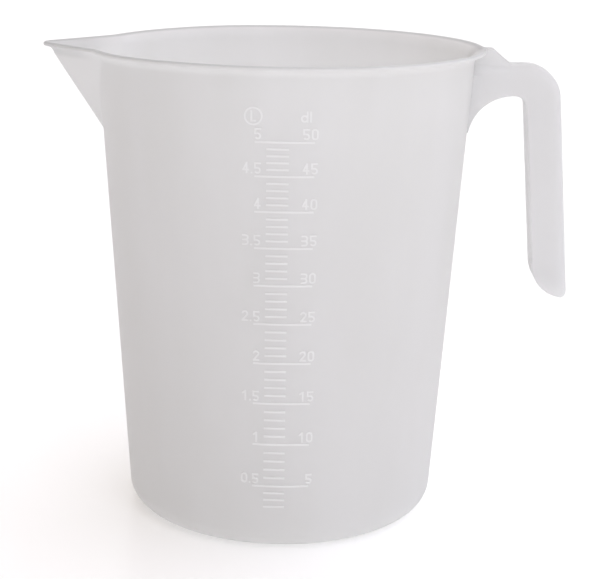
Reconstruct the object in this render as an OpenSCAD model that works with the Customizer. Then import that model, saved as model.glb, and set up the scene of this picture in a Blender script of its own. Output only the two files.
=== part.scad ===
// Five-litre measuring jug in translucent polypropylene.
// The origin is on the jug's axis at table level, +Z is up, the handle is at +X, the spout at -X
// and the scale faces -Y. The jug is one moulding: each module is one of its regions, and
// neighbouring regions meet face to face.

/* [Body] */
// Height from the table to the top of the rim
jug_h = 250; // [244:1:262]
// Outer radius of the wall, carried on up to the height of the rim
wall_top_r = 98.5; // [95:0.5:102]
// Outer radius of the wall, carried on down to the table
wall_foot_r = 82.7; // [79:0.1:87]
// Thickness of the wall
wall_t = 2.2; // [1.8:0.1:2.8]

/* [Base] */
// Rounding on the outside where the wall turns under
heel_r = 12; // [10:0.5:15]
// Rounding on the inside between wall and floor
heel_in_r = 9; // [7:0.5:11]
// Thickness of the floor
floor_t = 2.4; // [2:0.1:3]
// Height of the ring that the jug stands on
foot_h = 2.6; // [2:0.1:3.4]
// Width of the ring that the jug stands on
foot_w = 5.4; // [4:0.2:8]
// Rise of the floor from its edge to its middle
dome_h = 6; // [3:0.5:9]

/* [Rim] */
// How far the lip stands out from the wall
lip_reach = 5.8; // [5:0.1:7]
// Thickness of the lip
lip_t = 2.2; // [1.8:0.1:2.6]

/* [Spout] */
// How far the tip of the spout stands out past the lip
spout_reach = 24.1; // [20:0.1:28]
// How far below the rim the spout's keel leaves the wall
spout_drop = 48.8; // [42:0.2:56]
// Half the angle between the spout's two flanks, seen from above
spout_half_angle = 48; // [45:1:51]
// Rounding of the spout's keel
keel_r = 4; // [3.2:0.1:5]

/* [Handle] */
// Width of the handle from flange to flange
handle_w = 20; // [17:0.5:24]
// Depth of the handle's channel, from its outer face to the flange edges
handle_depth = 18.4; // [16:0.2:21]
// Thickness of the handle's web and flanges
handle_t = 2.5; // [2:0.1:3]
// Rounding of the two long outer edges of the handle
handle_edge_r = 5; // [4:0.2:6]
// How far the top of the handle lies below the rim
handle_drop = 7.6; // [7.4:0.1:10]
// How far the outer face of the handle stands out past the lip, at its bend
handle_reach = 39.8; // [37:0.2:46]
// Lean of the grip away from the wall
grip_splay = 5; // [2:0.5:7]
// Length of the grip below the bend
grip_len = 107; // [95:0.2:120]
// Outer rounding of the grip's lower end
end_out_r = 3.2; // [3:0.1:5]
// Radius of the arch under the handle's root
arch_r = 24.5; // [20:0.5:27]
// How far the arch lies above the centre of the bend
arch_rise = 2.2; // [0.6:0.1:2.4]
// Rounding between the arch and the grip
crook_r = 6.5; // [4:0.5:7]
// Rounding between the wall and the sides of the handle's root
root_fillet_r = 9; // [6:0.5:12]
// How far the ramp on the root runs out past the lip
ramp_run = 13; // [10:0.5:15]
// How far the level top of the ramp runs out past the lip
ramp_top_run = 4; // [2:0.2:6]
// Width of the ramp on the root
ramp_w = 15; // [12:0.5:17]

/* [Scale] */
// Height of the first long line above the table
scale_first_h = 36.6; // [34:0.2:40]
// Step from the line at half a litre to the line at one litre
scale_first_step = 22.9; // [21:0.1:24]
// Step from the line at 4.5 litres to the line at 5 litres
scale_last_step = 16.5; // [15:0.1:17.5]
// Height of each line
line_t = 1; // [0.7:0.1:1.3]
// How far lines and numerals stand out from the wall
relief = 0.5; // [0.3:0.05:0.7]
// Half the length of the short lines
short_line_half = 5.3; // [4:0.1:6]
// Reach of the long lines to the left of the middle
long_line_left = 10.9; // [9:0.1:12]
// Reach of the long lines to the right of the middle
long_line_right = 17.4; // [15:0.1:20]
// Height of the numerals
digit_h = 5.4; // [4.6:0.1:6]
// Width of a numeral
digit_w = 3.2; // [2.8:0.1:3.6]
// Width of the stroke that draws the numerals
stroke_w = 0.8; // [0.6:0.05:0.9]
// Space between the short lines and the numerals left of them
numeral_gap = 2.6; // [1.6:0.1:3.4]
// Outer radius of the ring round the litre mark
unit_ring_r = 4.4; // [4:0.1:5]
// Space between the top numeral and the ring of the litre mark
unit_gap = 1.2; // [0.8:0.1:2]

/* [Hidden] */
$fn = 96;

frosted = [0.85, 0.85, 0.86];
frosted_shade = [0.80, 0.79, 0.80];
frosted_light = [0.89, 0.90, 0.92];
raised_white = [0.95, 0.95, 0.96];

// Overrun of a cutting shape past the face that it cuts
over = 1;
// Longer than anything on the jug
far = 2 * (jug_h + wall_top_r);

// Slope of the wall, as radius per height and as an angle from upright
slope = (wall_top_r - wall_foot_r) / jug_h;
lean = atan(slope);
function wall_r(z) = wall_foot_r + slope * z;
function wall_in_r(z) = wall_r(z) - wall_t / cos(lean);

// Centres of the heel's roundings, and the flat that the jug stands on
floor_top = foot_h + floor_t;
heel_c = [wall_r(heel_r) - heel_r / cos(lean), heel_r];
heel_in_z = floor_top + heel_in_r;
heel_in_c = [wall_in_r(heel_in_z) - heel_in_r / cos(lean), heel_in_z];
heel_top = max(heel_r, heel_in_z);
foot_out_r = min(heel_c[0], heel_in_c[0]);
foot_in_r = foot_out_r - foot_w;
dome_r = (pow(foot_in_r, 2) + pow(dome_h, 2)) / (2 * dome_h);

// Lip: a quarter turn outwards, then a short flat and a round edge
lip_flat = lip_t / 8;
lip_edge_r = lip_t / 2;
lip_bend = lip_reach - lip_flat - lip_edge_r;
// Angle by which the lip's foot laps into its bend
lip_lap = 15;
ring_cove_r = lip_bend * cos(lean);
lip_z = jug_h - lip_t - ring_cove_r;
lip_out_r = wall_r(lip_z) + lip_reach;
// Radius of the hollow under the lip where the face below leans out by tilt
function cove_r(tilt) = (lip_bend - ring_cove_r * tan(tilt)) * cos(tilt) / (1 - sin(tilt));

// Keel of the spout: from the wall up to the underside of the lip
keel_low_z = jug_h - spout_drop;
keel_low_r = wall_r(keel_low_z);
keel_top_r = wall_r(lip_z) + spout_reach;
keel_run = keel_top_r - keel_low_r;
keel_rise = lip_z - keel_low_z;
keel_tilt = atan2(keel_run, keel_rise);
keel_len = norm([keel_run, keel_rise]);
// Half angle of the flanks in a section square to the keel, and lean of each flank
section_half_angle = atan(tan(spout_half_angle) / cos(keel_tilt));
flank_lean = asin(sin(keel_tilt) * sin(section_half_angle));
// Middle of the keel's rounding at the height lip_z, and its level radius beside the flanks
nose_x = keel_top_r - keel_r / cos(keel_tilt);
nose_r = keel_r / cos(flank_lean);
// Crease between flank and wall at the height lip_z, as an angle round from the spout
crease_angle = asin((nose_x * sin(spout_half_angle) + nose_r) / wall_r(lip_z)) - spout_half_angle;
// The two lips meet on a joint that halves the corner at the crease
mitre_angle = (crease_angle + 90 - spout_half_angle) / 2;
mitre_x = wall_r(lip_z) * (cos(crease_angle) - sin(crease_angle) / tan(mitre_angle));

// Handle: centre of the bend, then of the arch and of the crook in the side view
handle_top = jug_h - handle_drop;
bend_c = [lip_out_r + handle_reach - handle_depth * cos(grip_splay), handle_top - handle_depth];
arch_top = bend_c[1] + arch_rise;
arch_bite = handle_t / 5;
arch_c = [wall_r(arch_top - arch_r) + arch_r - arch_bite, arch_top - arch_r];
crook_z = arch_top - crook_r;
crook_c = [bend_c[0] + (bend_c[1] - crook_z) * tan(grip_splay) - crook_r / cos(grip_splay), crook_z];
root_end = lip_out_r + ramp_run;
// Angle at which the root's fillets meet its flanges
fillet_meet = 12;
// Lower end of the grip: a quarter turn as deep as the grip, then the outer rounding, whose
// centre lies end_fall below the start of the end
end_fall = sqrt(pow(handle_depth, 2) - 2 * handle_depth * end_out_r);
end_z = end_fall + end_out_r - grip_len;

// Scale: a long line for each half litre, with short lines for the tenths between. The steps
// grow smaller evenly, by as much in all from the first to the one that ends at 5 litres
short_per_step = 5;
low_short_lines = 3;
falling_steps = 8;
function step_h(i) = scale_first_step + (scale_last_step - scale_first_step) * i / falling_steps;
function long_h(i) = i == 0 ? scale_first_h : long_h(i - 1) + step_h(i - 1);
low_short_step = step_h(0) / (short_per_step + 1);
digit_gap = stroke_w;
numeral_rise = line_t / 2 + digit_gap;
litre_right = -(short_line_half + numeral_gap);
decilitre_right = long_line_right + 2 * stroke_w;
unit_rise = numeral_rise + digit_h + unit_gap + 2 * unit_ring_r;
// As many long lines as leave room for the unit marks under the lip
function lines_up_to(top, i) = long_h(i) > top ? i : lines_up_to(top, i + 1);
long_lines = lines_up_to(lip_z - unit_rise, 1);
unit_z = long_h(long_lines - 1) + unit_rise - unit_ring_r;
unit_letter_h = unit_ring_r + stroke_w;

// Flat shapes

// Base of a cone rounded at the corner: c and r are the rounding, edge_r the radius at the top
module rounded_base(c, r, edge_r, top) {
    intersection() {
        union() {
            translate(c) circle(r);
            translate([0, c[1] - r]) square([c[0], top - c[1] + r]);
            polygon([c, c + r * [cos(lean), -sin(lean)], [edge_r, top], [0, top]]);
        }
        square([far, top]);
    }
}

// Centre of the lip's bend on a face that leans out by tilt
function cove_c(tilt) = [(ring_cove_r - cove_r(tilt)) * tan(tilt) + cove_r(tilt) / cos(tilt),
                         ring_cove_r - cove_r(tilt)];

// Lip on a face that leans out by tilt: x from that face, y up from the height lip_z
module lip_section(tilt) {
    r = cove_r(tilt);
    out = [-cos(tilt), sin(tilt)];
    big = 2 * (r + lip_t);
    translate(cove_c(tilt)) {
        intersection() {
            difference() {
                circle(r + lip_t);
                circle(r);
            }
            polygon([[0, 0], [0, big], [-big, big], big * out]);
        }
        translate([0, r]) square([lip_flat, lip_t]);
        translate([lip_flat, r + lip_edge_r]) circle(lip_edge_r);
    }
}

// Foot of that lip, from the height lip_z up to its bend
module lip_foot(tilt) {
    r = cove_r(tilt);
    c = cove_c(tilt);
    out = [-cos(tilt), sin(tilt)];
    key = [-cos(tilt + lip_lap), sin(tilt + lip_lap)];
    polygon([[0, 0], c + r * out, c + (r + lip_edge_r) * key, c + (r + lip_t) * out,
             [-wall_t / cos(tilt), 0]]);
}

// Section of the spout square to its keel, drawn in by inset, with the keel's line at the origin
module keel_section(inset) {
    r = keel_r - inset;
    a = section_half_angle;
    near = r * [-sin(a), cos(a)];
    end = near + keel_top_r * [cos(a), sin(a)];
    translate([keel_r, 0]) {
        circle(r);
        polygon([near, end, [end[0], -end[1]], [near[0], -near[1]]]);
    }
}

// Section of the keel's rounded wall between the flanks
module nose_section() {
    reach = 2 * keel_r * [-sin(section_half_angle), cos(section_half_angle)];
    translate([keel_r, 0]) intersection() {
        difference() {
            circle(keel_r);
            circle(keel_r - wall_t);
        }
        polygon([[0, 0], reach, [reach[0], -reach[1]]]);
    }
}

// Section of the two flanks, from the keel's rounding on
module flank_section() {
    a = section_half_angle;
    out = keel_r * [-sin(a), cos(a)];
    in = (keel_r - wall_t) * [-sin(a), cos(a)];
    along = keel_top_r * [cos(a), sin(a)];
    translate([keel_r, 0]) for (side = [0, 1]) mirror([0, side])
        polygon([out, out + along, in + along, in]);
}

// Section of the handle as a full bar, drawn in by inset: x from the outer face inwards
module bar_section(depth, inset) {
    r = handle_edge_r - inset;
    w = handle_w - 2 * inset;
    polygon([[inset + r, -w / 2], [depth, -w / 2], [depth, w / 2], [inset + r, w / 2]]);
    translate([inset, r - w / 2]) square([2 * r, w - 2 * r]);
    for (side = [-1, 1]) translate([inset + r, side * (w / 2 - r)]) circle(r);
}

// Section of the handle's channel, which is open on its inner side
module channel_section(depth) {
    difference() {
        bar_section(depth, 0);
        bar_section(depth + over, handle_t);
    }
}

// Side view of the grip's lower end, drawn in by inset
module end_outline(inset) {
    turn = [-end_out_r, -end_fall];
    side = [handle_depth - inset, end_z - end_fall];
    intersection() {
        translate([handle_depth, end_z]) circle(handle_depth - inset);
        polygon([[handle_depth, end_z], [handle_depth, end_z] + 2 * turn, [0, -2 * grip_len],
                 [0, end_z]]);
    }
    translate([handle_depth, end_z] + turn) circle(end_out_r - inset);
    polygon([[end_out_r, end_z], [handle_depth, end_z] + turn, side, [side[0], end_z]]);
}

// Band of a circle from one angle on to another, as wide as the stroke
module arc_stroke(r, from, to) {
    rest = 360 + from - to;
    difference() {
        circle(r);
        circle(r - stroke_w);
        polygon(concat([[0, 0]], [for (k = [0 : 3])
            2 * r * [cos(to + rest * k / 3), sin(to + rest * k / 3)]]));
    }
}

// Full ring as wide as the stroke
module ring_stroke(r) {
    difference() {
        circle(r);
        circle(r - stroke_w);
    }
}

// Straight stroke between the middles of its two ends
module bar_stroke(a, b) {
    d = (b - a) / norm(b - a);
    side = [-d[1], d[0]] * stroke_w / 2;
    polygon([a + side, a - side, b - side, b + side]);
}

// Numeral 0 to 9 with its lower left corner at the origin
module digit(n) {
    w = digit_w;
    h = digit_h;
    s = stroke_w;
    r = w / 2;
    if (n == 0) difference() {
        union() {
            for (y = [r, h - r]) translate([r, y]) circle(r);
            translate([0, r]) square([w, h - w]);
        }
        for (y = [r, h - r]) translate([r, y]) circle(r - s);
        translate([s, r]) square([w - 2 * s, h - w]);
    }
    if (n == 1) {
        translate([r, 0]) square([s, h]);
        bar_stroke([r + s / 2, h - s / 2], [s / 2, h - r]);
    }
    if (n == 2) {
        shoulder = (r - s / 2) * [cos(30), -sin(30)];
        translate([r, h - r]) arc_stroke(r, -30, 180);
        bar_stroke([r, h - r] + shoulder, [s / 2, s / 2]);
        square([w, s]);
    }
    if (n == 3) {
        lobe = (h + s) / 4;
        for (y = [lobe, h - lobe]) translate([w - lobe, y]) arc_stroke(lobe, -90, 90);
        for (y = [0, (h - s) / 2, h - s]) translate([0, y]) square([w - lobe, s]);
    }
    if (n == 4) {
        translate([w - 2 * s, 0]) square([s, h]);
        translate([0, h / 4]) square([w, s]);
        bar_stroke([w - s - s / 2, h - s / 2], [s / 2, h / 4 + s / 2]);
    }
    if (n == 5) {
        translate([0, h - s]) square([w, s]);
        translate([0, w - s]) square([s, h - w + s]);
        translate([s, w - s]) square([r - s, s]);
        translate([r, r]) arc_stroke(r, -150, 90);
    }
    if (n == 6) {
        translate([r, r]) ring_stroke(r);
        translate([0, r]) square([s, h - w]);
        translate([r, h - r]) arc_stroke(r, 30, 180);
    }
    if (n == 7) {
        translate([0, h - s]) square([w, s]);
        bar_stroke([w - s / 2, h - s / 2], [r, 0]);
    }
    if (n == 8) {
        lobe = (h + s) / 4;
        for (y = [lobe, h - lobe]) translate([r, y]) ring_stroke(lobe);
    }
    if (n == 9) translate([w, h]) rotate(180) digit(6);
}

// Whole number that ends at x = 0
module number(n) {
    tens = floor(n / 10);
    translate([-digit_w, 0]) digit(n % 10);
    if (tens > 0) translate([-2 * digit_w - digit_gap, 0]) digit(tens);
}

// Number of litres, given in half litres, that ends at x = 0
module litres(halves) {
    if (halves % 2 == 0) number(halves / 2);
    else {
        number(5);
        translate([-digit_w - digit_gap - stroke_w, 0]) square(stroke_w);
        translate([-digit_w - 2 * digit_gap - stroke_w, 0]) number(floor(halves / 2));
    }
}

// Shapes in space

// Solid inside the wall's outer face
module wall_cone(low, high) {
    rotate_extrude() polygon([[0, low], [wall_r(low), low], [wall_r(high), high], [0, high]]);
}

// Bar along the spout's keel between two heights, on the spout's side of the jug
module along_keel(low, high) {
    back = wall_foot_r * sin(spout_half_angle);
    intersection() {
        translate([-keel_low_r, 0, keel_low_z]) rotate([0, -keel_tilt, 0])
            translate([0, 0, -keel_len]) linear_extrude(3 * keel_len) children();
        translate([-far - back, -far / 2, low]) cube([far, far, high - low]);
    }
}

// Sector above the spout, between the joints of the two lips
module spout_sector() {
    reach = far * [cos(mitre_angle), sin(mitre_angle)];
    linear_extrude(2 * jug_h) polygon([[-mitre_x, 0], [-mitre_x - reach[0], reach[1]],
                                       [-mitre_x - reach[0], -reach[1]]]);
}

// Ring of the lip all the way round
module lip_ring() {
    rotate_extrude() translate([wall_r(lip_z), lip_z]) lip_section(lean);
}

// Raised layer on the front of the wall between two heights, cut to a flat shape drawn upright
module raised(low, high) {
    intersection() {
        rotate_extrude() polygon([[wall_r(low), low], [wall_r(low) + relief, low],
                                  [wall_r(high) + relief, high], [wall_r(high), high]]);
        rotate([90, 0, 0]) linear_extrude(far) children();
    }
}

// Raised line along the front of the wall from x = left to x = right
module line(z, left, right) {
    turn = 180 / PI / wall_r(z);
    low = z - line_t / 2;
    high = z + line_t / 2;
    rotate(left * turn - 90) rotate_extrude(angle = (right - left) * turn)
        polygon([[wall_r(low), low], [wall_r(low) + relief, low],
                 [wall_r(high) + relief, high], [wall_r(high), high]]);
}

// Row of raised numerals beside one long line, cut from a drawing that ends at x = right
module numeral(i, right) {
    low = long_h(i) + numeral_rise;
    raised(low, low + digit_h) translate([right, low]) children();
}

// Plate across the handle with its side view drawn as x outwards and y up
module side_plate(width) {
    rotate([90, 0, 0]) translate([0, 0, -width / 2]) linear_extrude(width) children();
}

// Pair of flange plates of the handle
module flanges() {
    for (side = [-1, 1]) translate([0, side * (handle_w - handle_t) / 2, 0])
        side_plate(handle_t) children();
}

// Frame of the grip: the bend's centre, with the grip running down
module in_grip() {
    translate([bend_c[0], 0, bend_c[1]]) rotate([0, -grip_splay, 0]) children();
}

// Bar or channel along the handle's top, from x = from to x = to
module along_top(from, to) {
    translate([from, 0, handle_top]) rotate([0, 90, 0]) linear_extrude(to - from) children();
}

// Sub-parts

// Conical wall, open where the spout leaves it
module wall() {
    joint_c = [wall_r(lip_z), lip_z] + cove_c(lean);
    out = [-cos(lean), sin(lean)];
    color(frosted) difference() {
        rotate_extrude() polygon([[wall_in_r(heel_top), heel_top], [wall_r(heel_top), heel_top],
            joint_c + cove_r(lean) * out, joint_c + (cove_r(lean) + lip_t) * out]);
        along_keel(keel_low_z, jug_h) keel_section(wall_t);
        translate([0, 0, lip_z]) spout_sector();
    }
}

// Rounded corner between wall and floor
module heel() {
    color(frosted_shade) rotate_extrude() difference() {
        rounded_base(heel_c, heel_r, wall_r(heel_top), heel_top);
        rounded_base(heel_in_c, heel_in_r, wall_in_r(heel_top), heel_top + over);
        square([foot_out_r, heel_top]);
    }
}

// Floor, flat over the foot ring and domed inside it
module floor_panel() {
    color(frosted) rotate_extrude() {
        translate([foot_in_r, foot_h]) square([foot_w, floor_t]);
        intersection() {
            difference() {
                translate([0, floor_top + dome_h - dome_r]) circle(dome_r);
                translate([0, foot_h + dome_h - dome_r]) circle(dome_r);
            }
            translate([0, foot_h]) square([foot_in_r, floor_t + dome_h]);
        }
    }
}

// Ring under the floor that the jug stands on
module foot_ring() {
    color(frosted_shade) rotate_extrude() translate([foot_in_r, 0]) square([foot_w, foot_h]);
}

// Lip round the mouth, up to its joints with the spout's lip
module rim_lip() {
    color(frosted_light) difference() {
        rotate(180 + crease_angle / 2) rotate_extrude(angle = 360 - crease_angle)
            translate([wall_r(lip_z), lip_z]) lip_section(lean);
        spout_sector();
    }
}

// Pouring spout: two flat flanks that meet in a rounded keel
module spout() {
    color(frosted_shade) {
        difference() {
            along_keel(keel_low_z - wall_t, lip_z) flank_section();
            wall_cone(0, jug_h);
        }
        difference() {
            along_keel(keel_low_z - wall_t, lip_z) nose_section();
            wall_cone(0, jug_h);
        }
    }
}

// Section of the spout's lip, from the middle of the keel's rounding outwards
module nose_lip() {
    translate([nose_r, 0]) {
        lip_section(flank_lean);
        lip_foot(flank_lean);
    }
}

// Lip along both flanks of the spout and round its tip
module spout_lip() {
    turn = 90 - spout_half_angle;
    color(frosted_light) intersection() {
        translate([-nose_x, 0, lip_z]) for (side = [0, 1]) mirror([0, side, 0]) {
            rotate(180 - turn) {
                rotate_extrude(angle = turn) nose_lip();
                rotate([90, 0, 0]) linear_extrude(keel_top_r) nose_lip();
            }
        }
        spout_sector();
    }
}

// Root and top of the handle: a channel from the wall with a ramp up to the lip, fillets at its
// sides and the crook that stiffens the inner corner
module handle_root() {
    root_depth = handle_top - arch_c[1];
    lip_c = [wall_r(lip_z), lip_z] + cove_c(lean);
    lip_mid_r = ring_cove_r + lip_edge_r;
    ramp_top = jug_h - lip_edge_r / 4;
    fillet_y = handle_w / 2 + root_fillet_r * cos(fillet_meet);
    fillet_x = sqrt(pow(wall_r(0), 2) - pow(fillet_y, 2));
    on_line = crook_c + crook_r * [cos(grip_splay), sin(grip_splay)];
    color(frosted_light) {
        difference() {
            union() {
                along_top(wall_r(0), bend_c[0]) channel_section(root_depth);
                side_plate(ramp_w) polygon([[wall_in_r(lip_z), handle_top - handle_t],
                    [root_end, handle_top - handle_t], [root_end, handle_top],
                    [lip_out_r + ramp_top_run, ramp_top], [lip_c[0], ramp_top],
                    lip_c + lip_mid_r * [-cos(45), sin(45)], lip_c - [lip_mid_r, 0]]);
                translate([fillet_x, 0, 0]) rotate([0, lean, 0])
                    linear_extrude(handle_top - handle_edge_r)
                        for (side = [-1, 1]) scale([1, side]) difference() {
                            translate([-root_fillet_r, (handle_w - handle_t) / 2])
                                square([2 * root_fillet_r, fillet_y - (handle_w - handle_t) / 2]);
                            translate([root_fillet_r, fillet_y]) circle(root_fillet_r);
                        }
            }
            side_plate(far) {
                translate(arch_c) circle(arch_r);
                translate(arch_c) square([far, arch_r]);
                translate([0, -far]) square([far, far + arch_c[1]]);
            }
            wall_cone(0, jug_h);
            lip_ring();
        }
        flanges() difference() {
            polygon([crook_c, [crook_c[0], arch_top], [bend_c[0], arch_top], bend_c, on_line]);
            translate(crook_c) circle(crook_r);
        }
    }
}

// Bend of the handle
module handle_bend() {
    color(frosted_light) translate([bend_c[0], 0, bend_c[1]]) rotate([90, -grip_splay, 0])
        rotate_extrude(angle = 90 - grip_splay) translate([handle_depth, 0])
            mirror([1, 0]) channel_section(handle_depth);
}

// Straight part of the grip
module handle_grip() {
    color(frosted_light) in_grip() translate([handle_depth, 0, end_z]) mirror([1, 0, 0])
        linear_extrude(-end_z) channel_section(handle_depth);
}

// Closed lower end of the grip
module handle_end() {
    color(frosted_light) in_grip() difference() {
        intersection() {
            side_plate(handle_w) end_outline(0);
            translate([handle_depth, 0, -grip_len]) mirror([1, 0, 0])
                linear_extrude(grip_len) bar_section(handle_depth, 0);
        }
        intersection() {
            side_plate(handle_w) end_outline(handle_t);
            translate([handle_depth, 0, -grip_len]) mirror([1, 0, 0])
                linear_extrude(grip_len) bar_section(handle_depth, handle_t);
        }
    }
}

// Short lines for every tenth of a litre
module scale_short_lines() {
    color(raised_white) {
        for (k = [1 : low_short_lines])
            line(scale_first_h - k * low_short_step, -short_line_half, short_line_half);
        for (i = [0 : long_lines - 2]) for (k = [1 : short_per_step - 1])
            line(long_h(i) + k * step_h(i) / short_per_step, -short_line_half, short_line_half);
    }
}

// Long lines for every half litre
module scale_long_lines() {
    color(raised_white) for (i = [0 : long_lines - 1])
        line(long_h(i), -long_line_left, long_line_right);
}

// Litres at the left of the long lines
module litre_numerals() {
    color(raised_white) for (i = [0 : long_lines - 1]) numeral(i, litre_right) litres(i + 1);
}

// Tenths of a litre at the right of the long lines
module decilitre_numerals() {
    color(raised_white) for (i = [0 : long_lines - 1])
        numeral(i, decilitre_right) number(5 * (i + 1));
}

// Ringed mark over the litres and plain letters over the tenths
module unit_marks() {
    h = unit_letter_h;
    s = stroke_w;
    bowl = h / 3;
    color(raised_white) raised(unit_z - unit_ring_r, unit_z + unit_ring_r) {
        translate([-long_line_left - s, unit_z]) {
            ring_stroke(unit_ring_r);
            translate([-h / 4, -h / 2]) {
                square([s, h]);
                square([h / 2, s]);
            }
        }
        translate([long_line_right - 2 * bowl - 2 * s, unit_z - h / 2]) {
            translate([0, bowl]) ring_stroke(bowl);
            translate([bowl - s, 0]) square([s, h]);
            translate([bowl + s, 0]) square([s, h]);
        }
    }
}

wall();
heel();
floor_panel();
foot_ring();
rim_lip();
spout();
spout_lip();
handle_root();
handle_bend();
handle_grip();
handle_end();
scale_short_lines();
scale_long_lines();
litre_numerals();
decilitre_numerals();
unit_marks();
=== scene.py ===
"""Measuring jug in frosted polypropylene: one smooth skin for body and spout, one for the
handle, their finishes, and a plain stage."""

import math

import bpy
import numpy as np
from mathutils import Matrix, Vector


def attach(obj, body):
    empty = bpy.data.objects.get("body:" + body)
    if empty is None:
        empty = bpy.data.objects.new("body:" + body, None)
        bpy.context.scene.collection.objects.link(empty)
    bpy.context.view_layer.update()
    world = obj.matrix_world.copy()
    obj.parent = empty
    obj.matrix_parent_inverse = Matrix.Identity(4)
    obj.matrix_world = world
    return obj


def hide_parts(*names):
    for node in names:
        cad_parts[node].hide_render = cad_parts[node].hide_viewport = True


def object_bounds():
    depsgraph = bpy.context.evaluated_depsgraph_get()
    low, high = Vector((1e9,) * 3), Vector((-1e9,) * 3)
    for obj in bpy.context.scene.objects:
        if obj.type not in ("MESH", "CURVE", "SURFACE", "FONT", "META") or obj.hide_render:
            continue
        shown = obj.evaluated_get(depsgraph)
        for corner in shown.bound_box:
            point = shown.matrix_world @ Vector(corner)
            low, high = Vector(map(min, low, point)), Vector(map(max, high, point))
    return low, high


bl_info = {
    "name": "Measuring jug",
    "version": (1, 0, 0),
    "blender": (4, 5, 0),
    "location": "View3D > Sidebar > Jug",
    "description": "Builds a frosted measuring jug around its packed solids",
    "category": "Object",
}

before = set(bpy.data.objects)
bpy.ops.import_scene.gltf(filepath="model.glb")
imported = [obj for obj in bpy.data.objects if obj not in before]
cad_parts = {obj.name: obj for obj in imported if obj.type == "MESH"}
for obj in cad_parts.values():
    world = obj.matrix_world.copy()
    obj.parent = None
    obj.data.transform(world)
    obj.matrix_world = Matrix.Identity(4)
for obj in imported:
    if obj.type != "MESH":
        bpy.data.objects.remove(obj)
CAD_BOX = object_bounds()

SHELL_NODES = ("wall", "heel", "floor_panel", "foot_ring", "rim_lip", "spout", "spout_lip")
HANDLE_NODES = ("handle_root", "handle_bend", "handle_grip", "handle_end")
SCALE_NODES = ("scale_short_lines", "scale_long_lines", "litre_numerals",
               "decilitre_numerals", "unit_marks")

# Skins. Lengths in metres, angles in degrees from the spout
SKIN_CELL = 0.0006              # cell of the grid that the handle's skin is drawn on
SKIN_SINK = 0.0008              # how deep that skin is let into the jug's wall
POLE_R = 0.0005                 # radius of the last ring round a pole
SPOUT_FADE = 0.02               # how far under its keel the spout's formula is followed
CLOSE_ROWS = 0.012              # how far under the keel the close rows begin
INNER_TURN = 0.03               # depth over which the inside turns from sections to rays
DIP_START, DIP_END = 0.03, 0.128  # the rim dips between these distances towards the tip
DIP_Z = 0.19                    # height over which the dip starts
NOSE_END, SPOUT_END = 4, 32     # angles at which nose and spout end

# Points along each stretch of the grid
NOSE_COUNT, SPOUT_COUNT, REST_COUNT = 13, 57, 112
DOME_ROWS, CORNER_ROWS, FLAT_ROWS = 26, 5, 4
HEEL_ROWS, INNER_HEEL_ROWS = 20, 16
WALL_ROWS, SPOUT_ROWS = 24, 44
COVE_ROWS, EDGE_ROWS, TOP_ROWS = 11, 11, 14

# Pattern of the plastic. Lengths in metres
CLOUD = 0.03                    # width of a flow cloud
CLOUD_RISE = 0.25               # scale upwards: clouds are drawn out four times
CLOUD_RANGE = (0.35, 0.65)      # noise that gives plain and thin plastic
CLOUD_GLOSS = (-0.05, 0.07)     # change of roughness from cloud to cloud
GRAIN = 0.0012                  # grain of the tool, 0.1 mm really, coarser so that it shows
GRAIN_BUMP, GRAIN_DEPTH = 0.06, 0.0002
PLASTIC_IOR = 1.49

# Painted shade on the lip's top edge. It grows from nought to full between the two values of
# each pair: depths in lip thicknesses under the rim, places in metres
SHADE_DEPTH = (0.5, 0.15)
SHADE_FADE_X = (-0.06, 0.06)     # the painted shade on the front lip fades to the right
SHADE_RIGHT = 0.6                # what is left of it there
SHADE_BACK_Y = (-0.02, 0.02)     # the painted shade on the back lip doesn't fade
TIP_X = (-0.094, -0.110)        # on the spout the painted shade covers the lip's whole face
TIP_DEPTH = (3.5, 2.5)
TIP_SHADE = 0.35                 # and is fainter

# Stage. Lengths in metres, angles in degrees
FLOOR_HALF = 6.0
FLOOR_ROUGHNESS, FLOOR_IOR = 0.22, 1.40
FLOOR_SIDES = (-0.4, 0.2)       # the floor's light grows between these places
SKY_SIDES = (-0.7, 0.45)        # the sky turns from warm to cool between these directions
LAMP_TARGET, LAMP_SIZE = (0.0, 0.0, 0.15), 0.9
RIGHT_LAMP, RIGHT_TINT = (0.38, -1.0, 0.95), "F2F3F8"
LEFT_LAMP, LEFT_TINT = (-1.0, -0.6, 0.7), "FFE2C8"
CAMERA_PLACE = (0.0, -0.8061, 0.3336)
CAMERA_AIM = (0.5716, 15.042, 1.063)  # to the right, down and rolled
CAMERA_TURN = 2.0               # round the jug's axis


def length(name, description, default):
    """A size in metres."""
    return bpy.props.FloatProperty(name=name, description=description, default=default,
                                   min=0.0, subtype="DISTANCE", unit="LENGTH", precision=5)


def angle(name, description, degrees):
    """An angle, given in degrees and kept in radians."""
    return bpy.props.FloatProperty(name=name, description=description,
                                   default=math.radians(degrees), subtype="ANGLE",
                                   unit="ROTATION")


def factor(name, description, default, high=1.0):
    """A plain number from nought up."""
    return bpy.props.FloatProperty(name=name, description=description, default=default,
                                   min=0.0, max=high)


def linear(hex_colour):
    """Linear red, green and blue of an sRGB hex colour: c/12.92 in the dark, else
    ((c + 0.055) / 1.055) to the power 2.4."""
    values = [int(hex_colour[i:i + 2], 16) / 255 for i in (0, 2, 4)]
    return tuple(c / 12.92 if c <= 0.04045 else ((c + 0.055) / 1.055) ** 2.4 for c in values)


def colour(name, description, hex_colour):
    """A colour, given as sRGB hex and kept linear."""
    return bpy.props.FloatVectorProperty(name=name, description=description, size=3, min=0.0,
                                         max=1.0, default=linear(hex_colour), subtype="COLOR")


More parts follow.
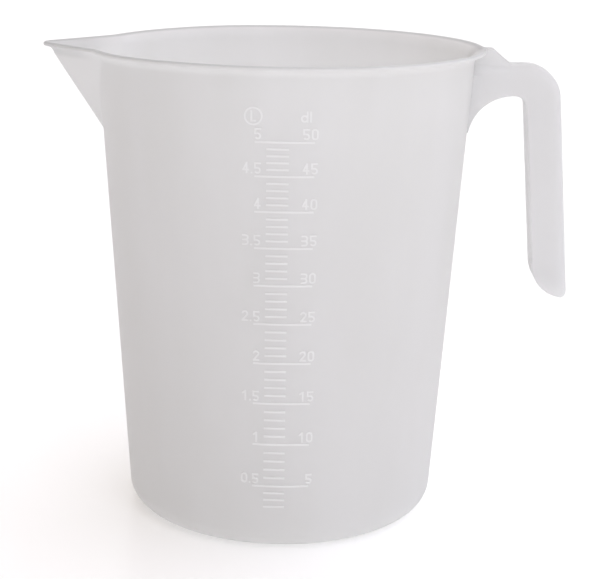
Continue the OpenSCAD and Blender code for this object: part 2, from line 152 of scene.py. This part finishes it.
class JugShellSizes(bpy.types.PropertyGroup):
    """Sizes of the jug's shell."""

    height: length("Height", "From the table to the top of the rim", CAD_BOX[1][2])
    wall_top_r: length("Wall radius at the rim", "Outer radius at the rim's height", 0.0985)
    wall_foot_r: length("Wall radius at the foot", "Outer radius at the table", 0.0827)
    wall_t: length("Wall thickness", "Thickness of the wall", 0.0022)
    heel_r: length("Heel rounding", "Outer rounding between wall and base", 0.012)
    heel_in_r: length("Inner heel rounding", "Inner rounding between wall and floor", 0.009)
    floor_t: length("Floor thickness", "Thickness of the floor", 0.0024)
    foot_h: length("Foot height", "Height of the foot ring", 0.0026)
    foot_w: length("Foot width", "Width of the foot ring", 0.0054)
    dome_h: length("Dome height", "Rise of the floor to its middle", 0.006)
    corner_r: length("Small rounding", "Rounding of the foot ring's edges", 0.0004)
    lip_reach: length("Lip reach", "How far the lip stands out from the wall", 0.0058)
    lip_t: length("Lip thickness", "Thickness of the lip", 0.0022)
    spout_reach: length("Spout reach", "How far the tip stands out past the lip", 0.0241)
    spout_drop: length("Spout drop", "From the rim down to the keel's start", 0.0488)
    spout_half: angle("Spout half angle", "Between flank and middle, from above", 48)
    keel_r: length("Keel rounding", "Rounding of the spout's keel", 0.004)
    crease: length("Crease softness", "How soft the corner of spout and wall is", 0.0012)
    rim_dip: length("Rim dip", "How far the rim dips towards the spout's tip", 0.00125)


class JugFinish(bpy.types.PropertyGroup):
    """Colours and gloss of the plastic."""

    body: colour("Body", "Milky polypropylene of the shell", "EBEAE9")
    body_thin: colour("Thin body", "The same plastic where the melt is thinner", "F0EFEF")
    glow: colour("Glow", "Light that comes through the plastic", "F4F4F4")
    # Painted shade: the next two colours are darker copies of the body and glow, laid on the
    # top edge of the lip.
    edge: colour("Edge", "The same plastic on the thick top of the lip", "D0D0D0")
    shaded_lip_glow: colour("Edge glow", "Light that comes through the thick lip", "DADADA")
    handle: colour("Handle", "The same plastic at the handle's thicker walls", "F2F2F3")
    # Painted highlight: the relief's colours are lighter than the body's, so that the raised
    # lines and numerals show brighter than the wall.
    relief: colour("Relief", "Raised lines and numerals", "F8F8F8")
    relief_thin: colour("Thin relief", "The same where the melt is thinner", "FCFCFC")
    relief_glow: colour("Relief glow", "Light that comes through lines and numerals",
                        "FFFFFF")
    relief_translucency: factor("Translucency of the relief",
                                "Share of light that passes lines and numerals", 0.45)
    translucency: factor("Translucency", "Share of light that passes the wall", 0.62)
    handle_translucency: factor("Translucency of the handle",
                                "Share of light that passes the handle", 0.60)
    roughness: factor("Roughness", "Roughness of the moulded surface", 0.36)


class JugStage(bpy.types.PropertyGroup):
    """Floor, light and camera."""

    floor: colour("Floor", "Pale floor", "F7F7F7")
    floor_white: factor("Floor white", "White added to the floor for the eye", 0.235)
    floor_light: factor("Floor light", "Light that the bright floor throws on the jug", 0.50)
    floor_light_left: factor("Floor light at the left", "The same at the left", 0.10)
    sky_front: factor("Front sky", "Strength of the even light from the front", 0.34, 4.0)
    sky_back: factor("Back sky", "Strength of the even light from behind", 1.0, 4.0)
    sky_low: factor("Low sky", "Share of the even light from the horizon", 0.62, 4.0)
    sky_high: factor("High sky", "Share of the even light from overhead", 2.8, 4.0)
    warm: colour("Warm side", "Tint of the light from the left", "8C7A66")
    cool: colour("Cool side", "Tint of the light from the right", "F0F0F8")
    right_power: factor("Right lamp", "Watts of the large lamp at the right", 3.8, 500.0)
    left_power: factor("Left lamp", "Watts of the large lamp at the left", 0.1, 500.0)
    lens: bpy.props.FloatProperty(name="Lens", description="Focal length on a 36 mm frame",
                                  default=92.59, min=10.0, subtype="DISTANCE_CAMERA")


# Meshes

def add_mesh(name, points, quads, triangles=()):
    """A smooth mesh object at the origin from arrays of points, quads and triangles."""
    mesh = bpy.data.meshes.new(name)
    faces = np.asarray(quads).reshape(-1, 4).tolist()
    faces += np.asarray(triangles, dtype=int).reshape(-1, 3).tolist()
    mesh.from_pydata(np.asarray(points).reshape(-1, 3).tolist(), [], faces)
    mesh.validate()
    mesh.shade_smooth()
    piece = bpy.data.objects.new(name, mesh)
    bpy.context.scene.collection.objects.link(piece)
    return piece


def node_triangles(name):
    """Points and triangles of a CAD node, as arrays."""
    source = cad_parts[name]
    mesh = source.data
    points = np.empty(3 * len(mesh.vertices))
    mesh.vertices.foreach_get("co", points)
    place = np.array(source.matrix_world)
    points = points.reshape(-1, 3) @ place[:3, :3].T + place[:3, 3]
    corners = np.empty(len(mesh.loops), dtype=np.int32)
    mesh.loops.foreach_get("vertex_index", corners)
    return points, corners.reshape(-1, 3)


def one_skin(name, nodes, wall):
    """One skin round copies of touching CAD nodes: their outside on a grid of small cells,
    relaxed a little, held within the nodes' own box, and let into the jug's wall where it
    meets it: a point less than a cell outside the wall goes to the wall's radius less the
    sink. wall gives that radius at a height."""
    points, faces, count = [], [], 0
    for node in nodes:
        own, triangles = node_triangles(node)
        points.append(own)
        faces.append(triangles + count)
        count += len(own)
    points, faces = np.concatenate(points), np.concatenate(faces)
    rough = bpy.data.meshes.new(name + "_rough")
    rough.from_pydata(points.tolist(), [], faces.tolist())
    skin = bpy.data.objects.new(name, rough)
    bpy.context.scene.collection.objects.link(skin)
    grid = skin.modifiers.new("grid", "REMESH")
    grid.mode = "VOXEL"
    grid.voxel_size = SKIN_CELL
    relax = skin.modifiers.new("relax", "SMOOTH")
    relax.factor = 0.5
    relax.iterations = 2
    graph = bpy.context.evaluated_depsgraph_get()
    mesh = bpy.data.meshes.new_from_object(skin.evaluated_get(graph))
    skin.modifiers.clear()
    skin.data = mesh
    bpy.data.meshes.remove(rough)
    mesh.name = name
    places = np.empty(3 * len(mesh.vertices))
    mesh.vertices.foreach_get("co", places)
    held = np.clip(places.reshape(-1, 3), points.min(0), points.max(0))
    radius = np.hypot(held[:, 0], held[:, 1])
    outside = wall(held[:, 2])
    inner = np.where(radius < outside + SKIN_CELL, (outside - SKIN_SINK) / radius, 1)
    held[:, :2] *= inner[:, None]
    mesh.vertices.foreach_set("co", held.ravel())
    mesh.update()
    mesh.shade_smooth()
    return skin


def arc(centre, radius, start, end, count):
    """Points centre + radius * (cos a, sin a), with a from start to end in degrees."""
    a = np.radians(np.linspace(start, end, count))
    return np.stack([centre[0] + radius * np.cos(a), centre[1] + radius * np.sin(a)], 1)


def straight(a, b, count):
    """count evenly spaced points from a to b, without b."""
    t = np.linspace(0, 1, count, endpoint=False)[:, None]
    return np.asarray(a) * (1 - t) + np.asarray(b) * t


def smooth(t):
    """t squared times 3 less 2 t: from 0 to 1 with level ends."""
    return t ** 2 * (3 - 2 * t)


def around(r, z, phi):
    """Points of shape (rows, phi, 3) at the radius r and height z, where phi is the angle from
    the spout, which points to -X."""
    r, z, phi = np.broadcast_arrays(r, z, phi)
    return np.stack([-r * np.cos(phi), -r * np.sin(phi), z], 2)


class ShellForm:
    """Formulas of the jug's shell, from its sizes s. Angles phi run from the spout."""

    def __init__(self, s):
        self.s = s
        self.slope = (s.wall_top_r - s.wall_foot_r) / s.height
        self.lean = math.atan(self.slope)
        self.flat = s.lip_t / 8
        self.edge = s.lip_t / 2
        self.bend = s.lip_reach - self.flat - self.edge
        self.ring_cove = self.bend * math.cos(self.lean)
        self.lip_z = s.height - s.lip_t - self.ring_cove
        self.keel_z = s.height - s.spout_drop
        self.keel_start = self.wall(self.keel_z)
        run = self.wall(self.lip_z) + s.spout_reach - self.keel_start
        self.keel_tilt = math.atan2(run, self.lip_z - self.keel_z)
        section = math.atan(math.tan(s.spout_half) / math.cos(self.keel_tilt))
        self.flank_lean = math.asin(math.sin(self.keel_tilt) * math.sin(section))

    def wall(self, z, inset=0.0):
        """Radius of the conical wall at the height z, drawn in by inset square to its face."""
        return self.s.wall_foot_r + self.slope * z - inset / math.cos(self.lean)

    def beak(self, phi, z, inset=0.0):
        """Distance from the axis to the spout at phi and z: the far side of a small circle on
        the keel, and beside it the line at the spout's half angle that touches that circle."""
        s = self.s
        keel = self.keel_start + (z - self.keel_z) * math.tan(self.keel_tilt)
        nose_x = keel - s.keel_r / math.cos(self.keel_tilt)
        nose_r = (s.keel_r - inset) / math.cos(self.flank_lean)
        side = math.pi / 2 - s.spout_half
        turn = np.minimum(np.abs(phi), side)
        flank = (nose_x * math.sin(s.spout_half) + nose_r) / np.cos(turn - side)
        touch = np.arctan2(nose_r * math.sin(side), nose_x + nose_r * math.cos(side))
        inside = np.maximum(nose_r ** 2 - (nose_x * np.sin(turn)) ** 2, 0)
        nose = nose_x * np.cos(turn) + np.sqrt(inside)
        found = np.where(turn < touch, nose, flank)
        return np.where(z > self.keel_z - SPOUT_FADE, found, 0)

    def plan(self, phi, z, inset=0.0):
        """Larger of wall and spout, with their crease rounded: max + k h^2 / 4, where
        h = 1 - |wall - spout| / k where that is positive."""
        wall = self.wall(z, inset) + 0 * phi
        beak = self.beak(phi, z, inset)
        k = self.s.crease
        near = np.maximum(1 - np.abs(wall - beak) / k, 0)
        return np.maximum(wall, beak) + k * near ** 2 / 4

    def angles(self):
        """Angles round the jug from the spout, close together at the nose and at the spout."""
        nose = np.radians(np.linspace(0, NOSE_END, NOSE_COUNT)[:-1])
        beak = np.radians(np.linspace(NOSE_END, SPOUT_END, SPOUT_COUNT)[:-1])
        rest = np.radians(np.linspace(SPOUT_END, 180, REST_COUNT))
        half = np.concatenate([nose, beak, rest])
        return np.concatenate([-half[:0:-1], half[:-1]])

    def heel_out(self):
        """Radius at which the outer heel meets the table."""
        return self.wall(self.s.heel_r) - self.s.heel_r / math.cos(self.lean)

    def heel_inner(self):
        """Centre of the inner heel's rounding."""
        s = self.s
        z = s.foot_h + s.floor_t + s.heel_in_r
        return self.wall(z, s.wall_t) - s.heel_in_r / math.cos(self.lean), z

    def foot_in(self):
        """Inner radius of the foot ring."""
        return min(self.heel_out(), self.heel_inner()[0]) - self.s.foot_w

    def dome(self, r, level):
        """Dome inside the foot ring, over the radii r: a ball's cap of the radius
        (a^2 + h^2) / 2h, with a its reach and h its rise over the level."""
        rise = self.s.dome_h
        ball = (self.foot_in() ** 2 + rise ** 2) / (2 * rise)
        return np.stack([r, level + rise - ball + np.sqrt(ball ** 2 - r ** 2)], 1)

    def base_profile(self):
        """Radius and height from the middle of the underside out to the wall."""
        s = self.s
        foot, heel, edge = self.foot_in(), self.heel_out(), s.corner_r
        under = self.dome(np.linspace(POLE_R, foot - edge, DOME_ROWS), s.foot_h)
        inner = arc((foot - edge, s.foot_h - edge), edge, 90, 0, CORNER_ROWS)
        drop = straight((foot, s.foot_h - 2 * edge), (foot, 2 * edge), 2)
        bottom = arc((foot + edge, edge), edge, 180, 270, CORNER_ROWS)
        flat = straight((foot + 2 * edge, 0), (heel, 0), FLAT_ROWS)
        turn = arc((heel, s.heel_r), s.heel_r, -90, -math.degrees(self.lean), HEEL_ROWS)
        return np.concatenate([under[:-1], inner, drop, bottom, flat, turn])

    def floor_profile(self):
        """Radius and height from the inner wall in to the middle of the floor."""
        s = self.s
        foot, centre, top = self.foot_in(), self.heel_inner(), s.foot_h + s.floor_t
        turn = arc(centre, s.heel_in_r, -math.degrees(self.lean), -90, INNER_HEEL_ROWS)
        flat = straight((centre[0], top), (foot, top), FLAT_ROWS)[1:]
        dome = self.dome(np.linspace(foot, POLE_R, DOME_ROWS), top)
        return np.concatenate([turn, flat, dome])

    def lip_rows(self, phi):
        """Lip over the mouth's outline. In the plane square to that outline, u outwards and v
        up from the height lip_z: a hollow quarter arc, a short flat, a round edge, and back
        over the top at the lip's thickness. Returns points of shape (rows, phi, 3)."""
        s = self.s
        r = self.plan(phi, np.full_like(phi, self.lip_z))
        base = np.stack([-r * np.cos(phi), -r * np.sin(phi)], 1)
        run = np.roll(base, -1, 0) - np.roll(base, 1, 0)
        run /= np.linalg.norm(run, axis=1)[:, None]
        normal = np.stack([run[:, 1], -run[:, 0]], 1)
        wall, beak = self.wall(self.lip_z), self.beak(phi, np.full_like(phi, self.lip_z))
        share = np.clip((beak - wall) / s.crease / 2 + 0.5, 0, 1)
        tilt = self.lean + (self.flank_lean - self.lean) * smooth(share)
        cove = (self.bend - self.ring_cove * np.tan(tilt)) * np.cos(tilt) / (1 - np.sin(tilt))
        cu = (self.ring_cove - cove) * np.tan(tilt) + cove / np.cos(tilt)
        cv = self.ring_cove - cove
        rows = [(0 * tilt, 0 * tilt)]
        for t in np.linspace(0, 1, COVE_ROWS):
            a = math.pi - tilt + (tilt - math.pi / 2) * t
            rows.append((cu + cove * np.cos(a), cv + cove * np.sin(a)))
        for a in np.radians(np.linspace(-90, 90, EDGE_ROWS)):
            rows.append((cu + self.flat + self.edge * math.cos(a),
                         cv + cove + self.edge * (1 + math.sin(a))))
        for t in np.linspace(0, 1, TOP_ROWS):
            a = math.pi / 2 + (math.pi / 2 - tilt) * t
            rows.append((cu + (cove + s.lip_t) * np.cos(a), cv + (cove + s.lip_t) * np.sin(a)))
        rows.append((-s.wall_t / np.cos(tilt), 0 * tilt))
        u = np.array([row[0] for row in rows])
        v = np.array([row[1] for row in rows])
        xy = base[None] + u[:, :, None] * normal[None]
        return np.concatenate([xy, (self.lip_z + v)[:, :, None]], 2)

    def grid(self):
        """Closed grid: out under the base, up the outside, over the lip, down the inside and
        in over the floor. Each row goes once round the jug. Near the lip the inside turns
        from the lip's square sections to rays from the axis. Last, the rim is let down by
        dip * smooth(-x) * smooth(z) towards the spout."""
        s = self.s
        phi = self.angles()
        close = self.keel_z - CLOSE_ROWS
        base, lip, floor = self.base_profile(), self.lip_rows(phi), self.floor_profile()
        outer_z = np.concatenate([np.linspace(base[-1, 1], close, WALL_ROWS)[1:],
                                  np.linspace(close, self.lip_z, SPOUT_ROWS)[1:-1]])[:, None]
        outer = around(self.plan(phi[None], outer_z + 0 * phi), outer_z, phi)
        inner_z = np.concatenate([np.linspace(self.lip_z, close, SPOUT_ROWS)[1:],
                                  np.linspace(close, floor[0, 1], WALL_ROWS)[1:-1]])[:, None]
        phi_lip = np.arctan2(-lip[-1, :, 1], -lip[-1, :, 0])
        blend = np.clip((inner_z - self.lip_z + INNER_TURN) / INNER_TURN, 0, 1)
        turn = phi + blend * (phi_lip - phi)
        inner = around(self.plan(turn, inner_z + 0 * turn, s.wall_t), inner_z, turn)
        rows = np.concatenate([around(base[:, :1], base[:, 1:], phi), outer, lip, inner,
                               around(floor[:, :1], floor[:, 1:], phi)])
        fall = np.clip((-rows[..., 0] - DIP_START) / (DIP_END - DIP_START), 0, 1)
        rise = np.clip((rows[..., 2] - DIP_Z) / (s.height - DIP_Z), 0, 1)
        rows[..., 2] -= s.rim_dip * smooth(fall) * smooth(rise)
        return rows


def closed_grid_faces(rows, columns):
    """Quads of a grid that closes on itself along its columns, and the fans of its two poles,
    which are the two points after the grid."""
    i = np.arange(rows - 1)[:, None] * columns
    j = np.arange(columns)[None]
    k = (j + 1) % columns
    quads = np.stack([i + j, i + k, i + columns + k, i + columns + j], 2).reshape(-1, 4)
    first, last = rows * columns, rows * columns + 1
    top = (rows - 1) * columns
    j, k = j[0], k[0]
    start = np.stack([np.full(columns, first), k, j], 1)
    end = np.stack([np.full(columns, last), top + j, top + k], 1)
    return quads, np.concatenate([start, end])


# Materials

def add_node(owner, kind, settings=(), **inputs):
    """Adds a node with its settings to a material or world. An input is named, or is i and its
    number, and its value is a plain one or another node's output."""
    node = owner.node_tree.nodes.new(kind)
    for key, value in dict(settings).items():
        setattr(node, key, value)
    for key, value in inputs.items():
        socket = node.inputs[int(key[1:])] if key[0] == "i" and key[1:].isdigit() \
            else node.inputs[key.replace("_", " ")]
        if isinstance(value, bpy.types.NodeSocket):
            owner.node_tree.links.new(value, socket)
        else:
            socket.default_value = value
    return node


def new_material(name):
    """An empty node material."""
    material = bpy.data.materials.new(name)
    material.use_nodes = True
    material.node_tree.nodes.clear()
    return material


def rgba(colour_value):
    """A linear colour with an alpha of 1."""
    return (*colour_value, 1.0)


def seen_rays(owner):
    """1 on rays from the camera, in gloss and through clear things, else 0, in a material or
    world."""
    path = add_node(owner, "ShaderNodeLightPath").outputs
    seen = add_node(owner, "ShaderNodeMath", {"operation": "MAXIMUM"},
                    i0=path["Is Camera Ray"], i1=path["Is Glossy Ray"])
    seen = add_node(owner, "ShaderNodeMath", {"operation": "MAXIMUM"},
                    i0=seen.outputs[0], i1=path["Is Transmission Ray"])
    return seen.outputs[0]


def painted_lip_shade(material, place, sizes):
    """How much painted shade the lip's top edge gets: 1 on the top of the lip at the back and
    at the front left, less of it at the front right and on the spout's lip, and 0 below."""
    height, thick = sizes.height, sizes.lip_t
    sides = add_node(material, "ShaderNodeSeparateXYZ", Vector=place).outputs
    dip = add_node(material, "ShaderNodeMapRange", {"interpolation_type": "SMOOTHSTEP"},
                   Value=sides["X"], From_Min=-DIP_START, From_Max=-DIP_END,
                   To_Max=sizes.rim_dip)
    level = add_node(material, "ShaderNodeMath", i0=sides["Z"], i1=dip.outputs[0])
    top = add_node(material, "ShaderNodeMapRange", Value=level.outputs[0],
                   From_Min=height - SHADE_DEPTH[0] * thick,
                   From_Max=height - SHADE_DEPTH[1] * thick)
    front = add_node(material, "ShaderNodeMapRange", Value=sides["X"],
                     From_Min=SHADE_FADE_X[0], From_Max=SHADE_FADE_X[1], To_Min=1.0,
                     To_Max=SHADE_RIGHT)
    back = add_node(material, "ShaderNodeMapRange", Value=sides["Y"],
                    From_Min=SHADE_BACK_Y[0], From_Max=SHADE_BACK_Y[1])
    full = add_node(material, "ShaderNodeMath", {"operation": "MAXIMUM"},
                    i0=front.outputs[0], i1=back.outputs[0])
    top = add_node(material, "ShaderNodeMath", {"operation": "MULTIPLY"},
                   i0=top.outputs[0], i1=full.outputs[0])
    beak = add_node(material, "ShaderNodeMapRange", {"interpolation_type": "SMOOTHSTEP"},
                    Value=sides["X"], From_Min=TIP_X[0], From_Max=TIP_X[1])
    lip = add_node(material, "ShaderNodeMapRange", Value=level.outputs[0],
                   From_Min=height - TIP_DEPTH[0] * thick,
                   From_Max=height - TIP_DEPTH[1] * thick)
    spout = add_node(material, "ShaderNodeMath", {"operation": "MULTIPLY"},
                     i0=beak.outputs[0], i1=lip.outputs[0])
    spout = add_node(material, "ShaderNodeMath", {"operation": "MULTIPLY"},
                     i0=spout.outputs[0], i1=TIP_SHADE)
    return add_node(material, "ShaderNodeMath", {"operation": "MAXIMUM"},
                    i0=top.outputs[0], i1=spout.outputs[0]).outputs[0]


def frosted_polypropylene(name, base, thin, through, translucency, finish, sizes=None):
    """Injection-moulded natural polypropylene: milky, soft satin gloss, light passes it, with
    faint clouds where the melt cooled unevenly and the fine grain of the tool. With the
    shell's sizes, painted shade darkens the top edge of its lip and lets less light pass
    there."""
    material = new_material(name)
    place = add_node(material, "ShaderNodeTexCoord").outputs["Object"]
    # Flow clouds, drawn out upwards, as the melt flows from the base
    flow = add_node(material, "ShaderNodeMapping", Vector=place, Scale=(1, 1, CLOUD_RISE))
    noise = add_node(material, "ShaderNodeTexNoise", Vector=flow.outputs[0], Scale=1 / CLOUD,
                     Detail=2.0, Roughness=0.5)
    clouds = add_node(material, "ShaderNodeMapRange", Value=noise.outputs["Fac"],
                      From_Min=CLOUD_RANGE[0], From_Max=CLOUD_RANGE[1]).outputs[0]
    grain = add_node(material, "ShaderNodeTexNoise", Vector=place, Scale=1 / GRAIN,
                     Detail=1.0)
    tone = add_node(material, "ShaderNodeMix", {"data_type": "RGBA"},
                    i0=clouds, i6=rgba(base), i7=rgba(thin))
    shade, glow = tone.outputs[2], rgba(through)
    if sizes:
        # Painted shade on the lip's top edge: the plastic's colour and glow turn darker there.
        thick = painted_lip_shade(material, place, sizes)
        shade = add_node(material, "ShaderNodeMix", {"data_type": "RGBA"},
                         i0=thick, i6=shade, i7=rgba(finish.edge)).outputs[2]
        glow = add_node(material, "ShaderNodeMix", {"data_type": "RGBA"},
                        i0=thick, i6=glow, i7=rgba(finish.shaded_lip_glow)).outputs[2]
    gloss = add_node(material, "ShaderNodeMapRange", Value=clouds,
                     To_Min=finish.roughness + CLOUD_GLOSS[0],
                     To_Max=finish.roughness + CLOUD_GLOSS[1])
    bump = add_node(material, "ShaderNodeBump", Strength=GRAIN_BUMP, Distance=GRAIN_DEPTH,
                    Height=grain.outputs["Fac"])
    plastic = add_node(material, "ShaderNodeBsdfPrincipled", Base_Color=shade,
                       Roughness=gloss.outputs[0], IOR=PLASTIC_IOR, Normal=bump.outputs[0])
    milky = add_node(material, "ShaderNodeBsdfTranslucent", Color=glow,
                     Normal=bump.outputs[0])
    both = add_node(material, "ShaderNodeMixShader", Fac=translucency,
                    i1=plastic.outputs[0], i2=milky.outputs[0])
    add_node(material, "ShaderNodeOutputMaterial", Surface=both.outputs[0])
    return material


def dress(piece, material):
    """Gives a piece one material."""
    piece.data.materials.clear()
    piece.data.materials.append(material)


# Operators

class JUG_OT_shell(bpy.types.Operator):
    """Build the smooth shell: base, wall, lip and spout in one skin, as moulded"""

    bl_idname = "jug.shell"
    bl_label = "Shell"

    def execute(self, context):
        scene = context.scene
        rows = ShellForm(scene.jug_shell).grid()
        count, columns = rows.shape[:2]
        poles = [(0, 0, rows[0, :, 2].mean()), (0, 0, rows[-1, :, 2].mean())]
        points = np.concatenate([rows.reshape(-1, 3), np.array(poles)])
        shell = add_mesh("jug_shell", points, *closed_grid_faces(count, columns))
        finish = scene.jug_finish
        dress(shell, frosted_polypropylene("frosted_polypropylene", finish.body,
                                           finish.body_thin, finish.glow,
                                           finish.translucency, finish, scene.jug_shell))
        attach(shell, "root")
        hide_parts(*SHELL_NODES)
        return {"FINISHED"}


class JUG_OT_handle(bpy.types.Operator):
    """Build the handle's skin: one smooth skin round its four solids, as moulded"""

    bl_idname = "jug.handle"
    bl_label = "Handle"

    def execute(self, context):
        finish = context.scene.jug_finish
        form = ShellForm(context.scene.jug_shell)
        handle = one_skin("jug_handle", HANDLE_NODES, form.wall)
        dress(handle, frosted_polypropylene("frosted_polypropylene_handle", finish.handle,
                                            finish.body_thin, finish.glow,
                                            finish.handle_translucency, finish))
        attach(handle, "root")
        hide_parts(*HANDLE_NODES)
        return {"FINISHED"}


class JUG_OT_scale(bpy.types.Operator):
    """Finish the raised lines, numerals and unit marks, which keep their solids"""

    bl_idname = "jug.scale"
    bl_label = "Scale"

    def execute(self, context):
        finish = context.scene.jug_finish
        # Painted highlight: the relief's lighter colours make the raised lines and numerals
        # show brighter.
        material = frosted_polypropylene("frosted_polypropylene_relief", finish.relief,
                                         finish.relief_thin, finish.relief_glow,
                                         finish.relief_translucency, finish)
        for name in SCALE_NODES:
            dress(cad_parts[name], material)
        return {"FINISHED"}


class JUG_OT_stage(bpy.types.Operator):
    """Set the white floor, the even light, two large lamps and the camera"""

    bl_idname = "jug.stage"
    bl_label = "Stage"

    def execute(self, context):
        stage = context.scene.jug_stage
        self.floor(stage)
        self.sky(context.scene, stage)
        self.lamp("lamp_right", RIGHT_LAMP, stage.right_power, linear(RIGHT_TINT))
        self.lamp("lamp_left", LEFT_LAMP, stage.left_power, linear(LEFT_TINT))
        self.camera(context.scene, stage)
        context.scene.view_settings.view_transform = "Standard"
        return {"FINISHED"}

    def floor(self, stage):
        """A large flat floor, white to the eye, which keeps the jug's shadow and a faint
        reflection of it, and throws light up on the jug, less of it at the left."""
        points = [(-FLOOR_HALF, -FLOOR_HALF, 0), (FLOOR_HALF, -FLOOR_HALF, 0),
                  (FLOOR_HALF, FLOOR_HALF, 0), (-FLOOR_HALF, FLOOR_HALF, 0)]
        floor = add_mesh("floor", points, [(0, 1, 2, 3)])
        material = new_material("white_floor")
        board = add_node(material, "ShaderNodeBsdfPrincipled", Base_Color=rgba(stage.floor),
                         Roughness=FLOOR_ROUGHNESS, IOR=FLOOR_IOR)
        place = add_node(material, "ShaderNodeTexCoord").outputs["Object"]
        sides = add_node(material, "ShaderNodeSeparateXYZ", Vector=place).outputs
        light = add_node(material, "ShaderNodeMapRange", {"interpolation_type": "SMOOTHSTEP"},
                         Value=sides["X"], From_Min=FLOOR_SIDES[0], From_Max=FLOOR_SIDES[1],
                         To_Min=stage.floor_light_left, To_Max=stage.floor_light)
        glow = add_node(material, "ShaderNodeMapRange", Value=seen_rays(material),
                        To_Min=light.outputs[0], To_Max=stage.floor_white)
        white = add_node(material, "ShaderNodeEmission", Color=(1, 1, 1, 1),
                         Strength=glow.outputs[0])
        both = add_node(material, "ShaderNodeAddShader", i0=board.outputs[0],
                        i1=white.outputs[0])
        add_node(material, "ShaderNodeOutputMaterial", Surface=both.outputs[0])
        dress(floor, material)

    def sky(self, scene, stage):
        """Even light all round, stronger from overhead and from the bright backdrop behind
        the jug, warm at the left and cool at the right, and plain white to the eye and in
        gloss."""
        world = bpy.data.worlds.new("white_sky")
        world.use_nodes = True
        world.node_tree.nodes.clear()
        place = add_node(world, "ShaderNodeTexCoord").outputs["Generated"]
        sides = add_node(world, "ShaderNodeSeparateXYZ", Vector=place).outputs
        even = add_node(world, "ShaderNodeMapRange", Value=sides["Y"], From_Min=-1.0,
                        To_Min=stage.sky_front, To_Max=stage.sky_back)
        over = add_node(world, "ShaderNodeMapRange", Value=sides["Z"],
                        To_Min=stage.sky_low, To_Max=stage.sky_high)
        even = add_node(world, "ShaderNodeMath", {"operation": "MULTIPLY"},
                        i0=even.outputs[0], i1=over.outputs[0])
        seen = seen_rays(world)
        strength = add_node(world, "ShaderNodeMapRange", Value=seen,
                            To_Min=even.outputs[0], To_Max=1.0)
        side = add_node(world, "ShaderNodeMapRange", {"interpolation_type": "SMOOTHSTEP"},
                        Value=sides["X"], From_Min=SKY_SIDES[0], From_Max=SKY_SIDES[1])
        tint = add_node(world, "ShaderNodeMix", {"data_type": "RGBA"}, i0=side.outputs[0],
                        i6=rgba(stage.warm), i7=rgba(stage.cool))
        shown = add_node(world, "ShaderNodeMix", {"data_type": "RGBA"}, i0=seen,
                         i6=tint.outputs[2], i7=(1, 1, 1, 1))
        back = add_node(world, "ShaderNodeBackground", Color=shown.outputs[2],
                        Strength=strength.outputs[0])
        add_node(world, "ShaderNodeOutputWorld", Surface=back.outputs[0])
        scene.world = world

    def lamp(self, name, place, power, tint):
        """A large square lamp that faces the jug."""
        light = bpy.data.lights.new(name, "AREA")
        light.size = LAMP_SIZE
        light.energy = power
        light.color = tint
        lamp = bpy.data.objects.new(name, light)
        bpy.context.scene.collection.objects.link(lamp)
        lamp.location = place
        aim = Vector(LAMP_TARGET) - Vector(place)
        lamp.rotation_euler = aim.to_track_quat("-Z", "Y").to_euler()

    def camera(self, scene, stage):
        """The camera stands in front of the jug and a little above it, looks down and a
        little to the right, is rolled slightly, and all of it is turned round the jug's
        axis."""
        turn = Matrix.Rotation(math.radians(CAMERA_TURN), 4, "Z")
        pan, pitch, roll = (math.radians(a) for a in CAMERA_AIM)
        ahead = Vector((math.sin(pan) * math.cos(pitch), math.cos(pan) * math.cos(pitch),
                        -math.sin(pitch)))
        right = ahead.cross(Vector((0, 0, 1))).normalized()
        up = right.cross(ahead)
        right, up = (right * math.cos(roll) + up * math.sin(roll),
                     up * math.cos(roll) - right * math.sin(roll))
        pose = Matrix((right, up, -ahead)).transposed().to_4x4()
        pose.translation = Vector(CAMERA_PLACE)
        lens = bpy.data.cameras.new("camera")
        lens.lens = stage.lens
        lens.sensor_width = 36.0
        lens.sensor_fit = "HORIZONTAL"
        camera = bpy.data.objects.new("camera", lens)
        scene.collection.objects.link(camera)
        camera.matrix_world = turn @ pose
        scene.camera = camera


class JUG_PT_panel(bpy.types.Panel):
    """Sizes, finishes and steps of the measuring jug"""

    bl_idname = "JUG_PT_panel"
    bl_label = "Measuring jug"
    bl_space_type = "VIEW_3D"
    bl_region_type = "UI"
    bl_category = "Jug"

    def draw(self, context):
        for group in (context.scene.jug_shell, context.scene.jug_finish,
                      context.scene.jug_stage):
            box = self.layout.box()
            for key in group.__annotations__:
                box.prop(group, key)
        for step in STEPS:
            self.layout.operator(step.bl_idname)


STEPS = (JUG_OT_shell, JUG_OT_handle, JUG_OT_scale, JUG_OT_stage)
GROUPS = {"jug_shell": JugShellSizes, "jug_finish": JugFinish, "jug_stage": JugStage}


def register():
    """Registers the classes and hangs the settings on the scene."""
    for cls in (*GROUPS.values(), *STEPS, JUG_PT_panel):
        bpy.utils.register_class(cls)
    for key, cls in GROUPS.items():
        setattr(bpy.types.Scene, key, bpy.props.PointerProperty(type=cls))


def unregister():
    """Takes the settings off the scene and the classes away."""
    for key in GROUPS:
        delattr(bpy.types.Scene, key)
    for cls in (JUG_PT_panel, *STEPS, *GROUPS.values()):
        bpy.utils.unregister_class(cls)


def main():
    register()
    for step in STEPS:
        group, name = step.bl_idname.split(".")
        getattr(getattr(bpy.ops, group), name)()


if __name__ == "__main__":
    main()
